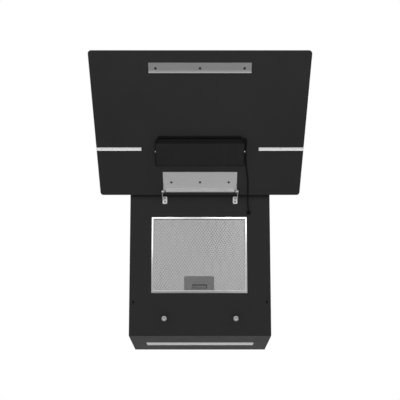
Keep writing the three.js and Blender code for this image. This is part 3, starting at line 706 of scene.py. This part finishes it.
def paired_screws():
    """The screws that each side has: low on the face, through the hinge arm, in the box's end."""
    face = cross_head("face_screw", 3.6, 1.8, 1.9, 6)
    arm = cross_head("arm_screw", 3.2, 1.5, 1.8, 6)
    end = cross_head("end_screw", 3.4, 2, 1.4, 8)
    face_x, face_up = 201.3, 99.8
    arm_x, arm_ups, arm_foot = 107, (402.8, 413.0), 1.8
    end_x, end_along, end_off = 128.8, 150, 15
    for side in (-1, 1):
        tag = side_name(side)
        seat = (side * face_x, face_up, GAP)
        turn = 20 + 25 * side
        node = f"face_screw_{tag}"
        place_screw(node, face, FACE, seat, turn, FACE_SCREW, "housing")
        for i, up in enumerate(arm_ups):
            seat = (side * arm_x, up, GAP + arm_foot + GAP)
            turn = 40 * i + 12 * side
            node = f"hinge_arm_screw_{i + 1}_{tag}"
            place_screw(node, arm, FACE, seat, turn, DULL_SCREW, "housing")
        seat = (side * end_x, along(end_along), off(end_off))
        outward = Matrix.Rotation(math.radians(90 * side), 4, "Y")
        node = f"control_box_screw_{tag}"
        place_screw(node, end, PANEL, seat, 35, BRIGHT, "panel", outward)


sheet_screws()
collar_screws()
paired_screws()

# ---------------------------------------------------------------- housing


def housing_shell():
    refined("front_panel", FACE, "housing", BLACK, 0.45, 3)
    for tag in ("left", "right"):
        refined(f"side_panel_{tag}", HOUSING, "housing", BLACK, 0.3)
    refined("bottom_panel", HOUSING, "housing", UNDERSIDE, 0.35)
    refined("top_panel", HOUSING, "housing", BLACK, 0.35)
    refined("back_panel", HOUSING, "housing", GALVANISED, 0.35)


def side_rivets():
    """Painted blind rivets where the sides meet the other panels' flanges."""
    head = [(0, -0.2), (3.2, -0.2), (3.2, 0.2), (2.8, 0.6)]
    head += [(1.9, 0.95), (1.2, 1.0), (1.1, 0.6), (0, 0.6)]
    inset, slope = 9.0, math.tan(math.radians(TILT))
    places = [(-inset, z) for z in (40, 150, 260, 370)]
    places += [(y, TOP - inset) for y in (-90, -190, -290)]
    places += [(-DEPTH - z * slope + inset, z) for z in (70, 200, 330)]
    places += [(y, inset) for y in (-70, -140)]
    for side in (-1, 1):
        bm = bmesh.new()
        outward = Matrix.Rotation(math.radians(90 * side), 4, "Y")
        for y, z in places:
            place = Matrix.Translation((side * HOUSING_HALF, y, z)) @ outward
            add_shape(bm, turned(head, 24), place)
        piece(f"side_rivets_{side_name(side)}", bm, HOUSING, "housing", BLACK)


def worktop_light():
    refined("light_diffuser", HOUSING, "housing", LENS, 0.4)
    refined("light_tray", HOUSING, "housing", GALVANISED, 0.3)
    refined("light_board", HOUSING, "housing", WHITE_PLASTIC, 0.15)


def blower():
    refined("blower_housing", HOUSING, "housing", WHITE_PLASTIC, 0.8)
    refined("motor_bracket", HOUSING, "housing", GALVANISED, 0.4)
    refined("electronics_box", HOUSING, "housing", BLACK_PLASTIC, 1.5, 3)
    refined("impeller", HOUSING, "fan", BLACK_PLASTIC, 0.25)
    hub = HOUSING @ Matrix.Translation((0, -138, 262)) @ AXIS_X
    stator = [
        (4.6, -122),
        (23, -122),
        (26, -121),
        (29, -113.5),
        (36.5, -110.8),
        (38, -109),
        (38, -74),
        (36.8, -72.3),
        (30.6, -68.2),
        (30, -66.6),
        (30, -62.6),
        (4.6, -62.6),
        (4.6, -122),
    ]
    turned_piece("motor", stator, hub, "housing", GALVANISED, 64)
    shaft = [(0, -119), (3.6, -119), (4, -118.6), (4, -28.4), (3.6, -28), (0, -28)]
    turned_piece("motor_shaft", shaft, hub, "fan", BRIGHT, 32)


housing_shell()
side_rivets()
worktop_light()
blower()

# ---------------------------------------------------------------- outlet


def outlet():
    low = ON_TOP
    inner, outer, flange = 72.6, 75.0, 88.0
    ring = [
        (inner, low),
        (flange - 0.5, low),
        (flange, low + 0.5),
        (flange, low + 1.1),
        (flange - 0.5, low + OUTLET_FLANGE),
        (outer + 1.6, low + OUTLET_FLANGE),
        (outer + 0.5, low + 2.0),
        (outer, low + 3.2),
        (outer, low + 44.2),
        (outer - 0.6, low + 45),
        (inner + 0.6, low + 45),
        (inner, low + 44.2),
        (inner, low),
    ]
    bm = turned(ring, 96)
    rod_half, rod_radius, rod_height = 72.5, 1.4, 10.6
    rod = [(0, -rod_half), (rod_radius, -rod_half), (rod_radius, rod_half), (0, rod_half)]
    for x in (-3.6, 3.6):
        place = Matrix.Translation((x, 0, low + rod_height)) @ Matrix.Rotation(math.pi / 2, 4, "X")
        add_shape(bm, turned(rod, 24), place)
    where = HOUSING @ Matrix.Translation((0, OUTLET_Y, 0))
    name, node = "outlet_collar_finished", "outlet_collar"
    piece(name, bm, where, "housing", WHITE_PLASTIC, [node])
    for side in (-1, 1):
        tag = side_name(side)
        node = f"backdraft_flap_{tag}"
        refined(node, HOUSING, f"flap_{tag}", WHITE_PLASTIC, 0.25)


# A dark strip along the top of the face, under the glass's hinge edge: a painted shadow line where
# the face lies in shade.
def joint_strip():
    refined("joint_strip", FACE, "housing", SHADOW_LINE_RUBBER, 0.4)


def mains_gland():
    low = ON_TOP
    body = [
        (3.6, low - 8),
        (7.2, low - 8),
        (7.4, low - 7.6),
        (7.4, low),
        (11.6, low),
        (12, low + 0.4),
        (12, low + 3.6),
        (11.6, low + 4),
        (9, low + 5),
        (8, low + 13),
        (7, low + 14.5),
        (5.5, low + 15),
        (3.6, low + 15),
        (3.6, low - 8),
    ]
    where = HOUSING @ Matrix.Translation((170, -60, 0))
    turned_piece("mains_gland", body, where, "housing", BLACK_PLASTIC)


outlet()
joint_strip()
mains_gland()

# ---------------------------------------------------------------- grommet and magnets


def cable_grommet():
    ring = [
        (2.6, -3.5),
        (6.5, -3.5),
        (6.8, -3.2),
        (6.8, -1.5),
        (4.6, -1.5),
        (4.6, 0.3),
        (6.8, 0.3),
        (7, 0.6),
        (6.8, 1.5),
        (6.0, 2.1),
        (4.8, 2.3),
        (3.2, 2.2),
        (2.6, 1.6),
        (2.6, -3.5),
    ]
    x, y, _ = CABLE_ON_FACE[-1]
    where = FACE @ Matrix.Translation((x, y, 0))
    turned_piece("cable_grommet", ring, where, "housing", RUBBER)


def magnets():
    cup = [
        (0, 30.0),
        (6.7, 30.0),
        (7.5, 30.8),
        (7.5, 37.2),
        (7.25, 37.7),
        (6.8, 37.9),
        (5.6, 37.9),
        (5.4, 37.5),
        (5.2, 37.3),
        (5.0, 37.5),
        (4.8, 37.9),
        (2.5, 37.9),
        (2.2, 37.7),
        (1.4, 36.5),
        (0, 36.5),
    ]
    x, y = 105.4, 54
    for side in (-1, 1):
        tag = side_name(side)
        where = FACE @ Matrix.Translation((side * x, y, 0))
        turned_piece(f"magnet_{tag}", cup, where, "housing", MAGNET)
        refined(f"magnet_post_{tag}", FACE, "housing", BLACK_SCREW, 0.5)


cable_grommet()
magnets()

# ---------------------------------------------------------------- filter

FILTER_LEFT, FILTER_RIGHT, FILTER_LOW, FILTER_HIGH = -148.0, 143.3, 125.3, 356.5
FILTER_BACK, FILTER_FRONT = -8.0, 1.6
WIDER_BELOW = 2.1
MESH_UNDER_RIM, PACK_UNDER_RIM = 4.0, 2.0
PACK_BACK, PACK_FRONT = -6.4, -5.0
RIM_WALL, RIM_FOOT = 0.7, 5.0
SLOT_LEFT, SLOT_RIGHT, SLOT_BACK, SLOT_FRONT = -15.0, 12.0, -5.2, -2.4
RIM_UNDER = [
    (0.75, 3.9),
    (1.0, 3.2),
    (1.6, 2.75),
    (2.6, 2.2),
    (3.9, 1.48),
    (4.9, 0.94),
    (5.4, 0.78),
    (5.9, 0.72),
    (6.3, 0.85),
    (6.6, 1.2),
    (6.8, 1.8),
]
RIM_OVER = [
    (7.5, 1.8),
    (7.42, 1.2),
    (7.2, 0.65),
    (6.8, 0.2),
    (6.3, 0.02),
    (5.9, 0.0),
    (5.4, 0.06),
    (4.9, 0.22),
    (4.4, 0.46),
    (3.6, 0.88),
    (2.6, 1.42),
    (1.6, 1.96),
    (0.9, 2.36),
    (0.4, 2.75),
    (0.1, 3.3),
]
LATCH_LEFT, LATCH_RIGHT, LATCH_TOP = -36.0, 33.0, 172.0


def filter_rim():
    """A rolled channel, mitred at its corners, highest near its inner edge.

    The latch's tongue goes out through a slot in the lower side's outer wall.
    """
    wall, floor = RIM_WALL, FILTER_BACK + RIM_WALL
    inside = [(wall, SLOT_BACK), (wall, SLOT_FRONT)]
    profile = [(0.0, FILTER_BACK + 0.5), (0.5, FILTER_BACK), (RIM_FOOT, FILTER_BACK)]
    profile += [(RIM_FOOT, floor), (wall, floor), *inside]
    profile += [(u, FILTER_FRONT - drop) for u, drop in RIM_UNDER + RIM_OVER]
    profile += [(0.0, SLOT_FRONT), (0.0, SLOT_BACK)]
    width = max(u for u, z in profile)
    low_scale = (width + WIDER_BELOW) / width
    stations = [
        (FILTER_LEFT, FILTER_LOW, 1, low_scale),
        (SLOT_LEFT, FILTER_LOW, 0, low_scale),
        (SLOT_RIGHT, FILTER_LOW, 0, low_scale),
        (FILTER_RIGHT, FILTER_LOW, -1, low_scale),
        (FILTER_RIGHT, FILTER_HIGH, -1, -1),
        (FILTER_LEFT, FILTER_HIGH, 1, -1),
    ]
    slot_station = 1
    bm = bmesh.new()
    rings = [
        [bm.verts.new((x + u * dx, y + u * dy, z)) for u, z in profile] for x, y, dx, dy in stations
    ]
    edges = [(i, (i + 1) % len(profile)) for i in range(len(profile))]
    inner = (profile.index(inside[0]), profile.index(inside[1]))
    outer = (len(profile) - 2, len(profile) - 1)
    for k, here in enumerate(rings):
        there = rings[(k + 1) % len(rings)]
        for i, j in edges:
            if k != slot_station or (i, j) not in (inner, outer):
                bm.faces.new((here[i], here[j], there[j], there[i]))
    left, right = rings[slot_station : slot_station + 2]
    for a, b in ((inner[0], outer[1]), (outer[0], inner[1])):
        bm.faces.new((left[a], left[b], right[b], right[a]))
    for ring in (left, right):
        bm.faces.new([ring[i] for i in (*inner, *outer)])
    return bm


def expanded_sheet(columns, rows, strand, front, lean, thick):
    """A sheet of diamond openings, with room for the latch.

    The metal between two openings is as wide as strand, and its lower edge stands forward.
    """
    u = MESH_UNDER_RIM
    left, right = FILTER_LEFT + u, FILTER_RIGHT - u
    low, high = FILTER_LOW + WIDER_BELOW + u, FILTER_HIGH - u
    cell_x, cell_y = (right - left) / columns, (high - low) / rows
    inradius = cell_x * cell_y / (2 * math.hypot(cell_x, cell_y))
    hole = 1 - strand / 2 / inradius
    vertices, faces = [], []
    tips, sides = {}, {}

    def vertex(x, y, z):
        vertices.append((x, y, z))
        return len(vertices) - 1

    def tip(i, j, level):
        """A shared corner, counted in half cells from the lower left."""
        key = (i, j, level)
        if key not in tips:
            place = (left + i * cell_x / 2, low + j * cell_y / 2)
            tips[key] = vertex(*place, front - lean - level * thick)
        return tips[key]

    around = [(1, 0), (0, 1), (-1, 0), (0, -1)]
    for j in range(1, 2 * rows):
        for i in range(1 + (j + 1) % 2, 2 * columns, 2):
            x, y = left + i * cell_x / 2, low + j * cell_y / 2
            in_width = LATCH_LEFT - cell_x / 2 < x < LATCH_RIGHT + cell_x / 2
            if in_width and y < LATCH_TOP + cell_y / 2:
                continue
            outer = [[tip(i + dx, j + dy, level) for dx, dy in around] for level in (0, 1)]
            inner = [
                [
                    vertex(
                        x + dx * hole * cell_x / 2,
                        y + dy * hole * cell_y / 2,
                        front - lean - level * thick + lean * dy,
                    )
                    for dx, dy in around
                ]
                for level in (0, 1)
            ]
            for a in range(4):
                b = (a + 1) % 4
                faces.append((outer[0][a], outer[0][b], inner[0][b], inner[0][a]))
                faces.append((outer[1][b], outer[1][a], inner[1][a], inner[1][b]))
                faces.append((inner[0][a], inner[0][b], inner[1][b], inner[1][a]))
                side = frozenset((outer[0][a], outer[0][b]))
                wall = (outer[0][b], outer[0][a], outer[1][a], outer[1][b])
                sides[side] = None if side in sides else wall
    faces += [wall for wall in sides.values() if wall]
    mesh = bpy.data.meshes.new("expanded")
    mesh.from_pydata(vertices, [], faces)
    bm = bmesh.new()
    bm.from_mesh(mesh)
    bpy.data.meshes.remove(mesh)
    return bm


def mesh_pack():
    """The layers behind the front sheet, as one slab with room for the latch."""
    u = PACK_UNDER_RIM
    left, right = FILTER_LEFT + u, FILTER_RIGHT - u
    low, high = FILTER_LOW + WIDER_BELOW + u, FILTER_HIGH - u
    outline = [(left, low), (LATCH_LEFT, low), (LATCH_LEFT, LATCH_TOP)]
    outline += [(LATCH_RIGHT, LATCH_TOP), (LATCH_RIGHT, low)]
    outline += [(right, low), (right, high), (left, high)]
    return extruded(outline, PACK_BACK, PACK_FRONT)


def hook_outline(x):
    """A tongue with rounded corners that stands up from the rim."""
    half, foot, radius = 10, FILTER_HIGH - 0.4, 3
    top = FILTER_HIGH + radius
    points = [(x - half, foot), (x + half, foot)]
    points += arc(x + half - radius, top, radius, 0, 90, 6)
    points += arc(x - half + radius, top, radius, 90, 180, 6)
    return points


def grease_filter():
    rim = piece("filter_frame_finished", filter_rim(), FACE, "filter", RIM, ["filter_frame"])
    smooth_shaded(rim.data, 40)
    middle, reach = (FILTER_LEFT + FILTER_RIGHT) / 2, 90
    for side in (-1, 1):
        hook = extruded(hook_outline(middle + reach * side), -4.4, -3)
        piece(f"filter_hook_{side_name(side)}", hook, FACE, "filter", DULL_SCREW, (), 0.3)
    fine = expanded_sheet(columns=46, rows=55, strand=0.95, front=-1.0, lean=0.3, thick=0.35)
    piece("filter_mesh_front", fine, FACE, "filter", EXPANDED, ["filter_mesh"])
    coarse = expanded_sheet(columns=35, rows=19, strand=2.2, front=-2.4, lean=0.4, thick=0.6)
    piece("filter_mesh_back", coarse, FACE, "filter", BACK_MESH)
    piece("filter_mesh_pack", mesh_pack(), FACE, "filter", PACK)
    refined("latch_body", FACE, "filter", LATCH, 0.18, 3)
    refined("latch_slider", FACE, "latch", LATCH, 0.3)


grease_filter()

# ---------------------------------------------------------------- hinge


def hinge_pieces():
    inner, outer = 108.4, 114.5
    head, shank, head_height = 4, 2.4, 1.6
    pin = [
        (0, inner - head_height),
        (3.4, inner - head_height),
        (head, inner - 1.1),
        (head, inner),
        (shank, inner),
        (shank, outer),
        (head, outer),
        (3.9, outer + 0.7),
        (3.2, outer + 1.3),
        (2, outer + head_height),
        (0, outer + head_height),
    ]
    axis = FACE @ Matrix.Translation((0, HINGE_ALONG, HINGE_OFF))
    for side in (-1, 1):
        tag = side_name(side)
        refined(f"hinge_arm_{tag}", FACE, "housing", ARM, 0.2, 3)
        where = axis @ Matrix.Rotation(math.radians(90 * side), 4, "Y")
        turned_piece(f"hinge_pin_{tag}", pin, where, "housing", BRIGHT, 40)
    # The hinge plate's fold takes a darker copy of the zinc steel: painted shade.
    folded_sheet("hinge_plate", [ZINC, SHADED_ZINC_FOLD], 0.25, 0.2)


hinge_pieces()

# ---------------------------------------------------------------- glass panel


def glass_outline():
    """The glass with its rounded corners and the two notches that hold the light bars."""
    low, high = along(0), along(GLASS_LENGTH)
    edge, radius, steps = GLASS_HALF, GLASS_CORNER, 14
    near, far = along(BAR_NEAR), along(BAR_FAR)
    notch = BAR_INNER - GAP
    points = arc(edge - radius, low + radius, radius, -90, 0, steps)
    points += [(edge, near), (notch, near), (notch, far), (edge, far)]
    points += arc(edge - radius, high - radius, radius, 0, 90, steps)
    points += arc(-edge + radius, high - radius, radius, 90, 180, steps)
    points += [(-edge, far), (-notch, far), (-notch, near), (-edge, near)]
    points += arc(-edge + radius, low + radius, radius, 180, 270, steps)
    return points


def glass_panel():
    """Polished on its front and its edges, painted on its inner side."""
    bm = extruded(glass_outline(), off(-GLASS_THICK), off(0))
    middle = off(-GLASS_THICK / 2)
    for face in bm.faces:
        if all(v.co.z > middle for v in face.verts):
            face.material_index = 1
    name, nodes, materials = "glass_panel_finished", ["glass_panel"], [GLASS, PAINTED_GLASS]
    piece(name, bm, PANEL, "panel", materials, nodes, 0.6, 3)


def ring_outline(radius, steps=24):
    turns = [2 * math.pi * i / steps for i in range(steps)]
    return [(radius * math.cos(a), radius * math.sin(a)) for a in turns]


def bar_outline(width, height):
    x, y = width / 2, height / 2
    return [(-x, -y), (x, -y), (x, y), (-x, y)]


def touch_icons():
    """Plain touch signs printed on the front: a ring of dots with a bar through its gap, a minus,
    a row of dots, a plus, and a dot with eight more round it."""
    top, thick = off(-GLASS_THICK) - 0.02, 0.05
    line = 0.8
    middle = along(145)
    switch_x, minus_x, row_x, plus_x, lamp_x = -40, -20, -8, 20, 40
    bm = bmesh.new()

    def stamp(outline, x, y):
        add_shape(bm, extruded([(x + a, y + b) for a, b in outline], top - thick, top))

    stamp(bar_outline(line, 4.5), switch_x, middle + 2.2)
    for i in range(10):
        turn = math.radians(125 + 290 * (i + 0.5) / 10)
        x, y = switch_x + 4.2 * math.cos(turn), middle + 4.2 * math.sin(turn)
        stamp(ring_outline(0.55, 10), x, y)
    stamp(bar_outline(7, line), minus_x, middle)
    for i in range(5):
        stamp(ring_outline(0.9, 16), row_x + 4 * i, middle)
    stamp(bar_outline(7, line), plus_x, middle)
    stamp(bar_outline(line, 3.0), plus_x, middle + 1.95)
    stamp(bar_outline(line, 3.0), plus_x, middle - 1.95)
    stamp(ring_outline(1.8), lamp_x, middle)
    for i in range(8):
        turn = 2 * math.pi * i / 8
        x, y = lamp_x + 4 * math.cos(turn), middle + 4 * math.sin(turn)
        stamp(ring_outline(0.5, 10), x, y)
    piece("touch_icons", bm, PANEL, "panel", ICON)


def control_box():
    """Painted light and shade. The base is darker than the cover, as painted shade, save its near
    side, painted lighter against the shade there. The cover is darker on its far side, as painted
    shade.
    """
    near_side = along(106)

    def on_near_side(face):
        return face.calc_center_median().y < near_side

    def on_far_side(face):
        return face.normal.y > 0.3 and face.normal.z > 0.1

    # Painted shade on the base and on the cover's far side; the base's near side painted lighter.
    base, cover = [SHADED_BASE_PLASTIC, BLACK_PLASTIC], [BLACK_PLASTIC, SHADED_PLASTIC]
    two_toned("control_box_base", base, on_near_side, 0.5, near_side)
    two_toned("control_box_cover", cover, on_far_side, 0.3)
    refined("control_board", PANEL, "panel", BOARD, 0.2)
    refined("touch_display", PANEL, "panel", BLACK_PLASTIC, 0.3)


def panel_fittings():
    for tag in ("left", "right"):
        refined(f"accent_light_{tag}", PANEL, "panel", BAR, 0.5, 3)
    # The catch strip and its fold take darker copies of the zinc steel: painted shade.
    folded_sheet("catch_strip", [SHADED_STRIP_STEEL, SHADED_STRIP_FOLD], 0.7, 0.15)
    control_box()


glass_panel()
touch_icons()
panel_fittings()

# ---------------------------------------------------------------- stage and light

FLOOR_HEIGHT, FLOOR_SIZE = -1.6, 16
WORLD_BELOW, WORLD_ABOVE = 0.37, 1.33
WORLD_LOW, WORLD_HIGH = -0.9, 1.0
WORLD_LEAN = 16.0
WHITE = (1, 1, 1, 1)


def make_floor():
    bpy.ops.mesh.primitive_plane_add(size=FLOOR_SIZE, location=(0, -1, FLOOR_HEIGHT))
    floor = bpy.context.object
    floor.name = "floor"
    made = Surface("pale_floor", grey(0.8), 0.8)
    floor.data.materials.append(made.material)
    floor.visible_glossy = False


def make_world():
    """White to the camera. What it lights sees it brighter above and dimmer below."""
    world = bpy.data.worlds.new("studio")
    world.use_nodes = True
    nodes, links = world.node_tree.nodes, world.node_tree.links
    seen = nodes["Background"]
    seen.inputs["Color"].default_value = WHITE
    seen.inputs["Strength"].default_value = 1.0
    lit = nodes.new("ShaderNodeBackground")
    lit.inputs["Color"].default_value = WHITE
    place = nodes.new("ShaderNodeTexCoord")
    leaning = nodes.new("ShaderNodeMapping")
    leaning.inputs["Rotation"].default_value = (0, math.radians(-WORLD_LEAN), 0)
    split = nodes.new("ShaderNodeSeparateXYZ")
    height = nodes.new("ShaderNodeMapRange")
    height.inputs["From Min"].default_value = WORLD_LOW
    height.inputs["From Max"].default_value = WORLD_HIGH
    height.inputs["To Min"].default_value = WORLD_BELOW
    height.inputs["To Max"].default_value = WORLD_ABOVE
    links.new(place.outputs["Generated"], leaning.inputs["Vector"])
    links.new(leaning.outputs["Vector"], split.inputs["Vector"])
    links.new(split.outputs["Z"], height.inputs["Value"])
    links.new(height.outputs["Result"], lit.inputs["Strength"])
    ray = nodes.new("ShaderNodeLightPath")
    mix = nodes.new("ShaderNodeMixShader")
    links.new(ray.outputs["Is Camera Ray"], mix.inputs["Fac"])
    links.new(lit.outputs["Background"], mix.inputs[1])
    links.new(seen.outputs["Background"], mix.inputs[2])
    links.new(mix.outputs["Shader"], nodes["World Output"].inputs["Surface"])
    bpy.context.scene.world = world


def area_light(name, place, target, size, watts, in_metal=True):
    """A square light. With in_metal off, glossy reflections don't see it."""
    data = bpy.data.lights.new(name, "AREA")
    data.shape = "SQUARE"
    data.size = size
    data.energy = watts
    made = bpy.data.objects.new(name, data)
    made.location = place
    made.rotation_euler = (Vector(target) - Vector(place)).to_track_quat("-Z", "Y").to_euler()
    made.visible_glossy = in_metal
    bpy.context.scene.collection.objects.link(made)


make_floor()
make_world()
area_light("key", (1.3, -2.9, 0.9), (0, -0.3, -0.1), 2.0, 25)
area_light("fill", (-1.6, -2.9, 0.1), (0, -0.3, -0.1), 2.0, 17)
area_light("low", (0, -1.7, -1.4), (0, -0.35, 0.1), 1.4, 60, in_metal=False)
area_light("rear", (0.8, 1.8, 1.8), (0, -0.3, 0), 1.6, 20)
bpy.context.scene.view_settings.view_transform = "Standard"
bpy.context.scene.view_settings.look = "None"
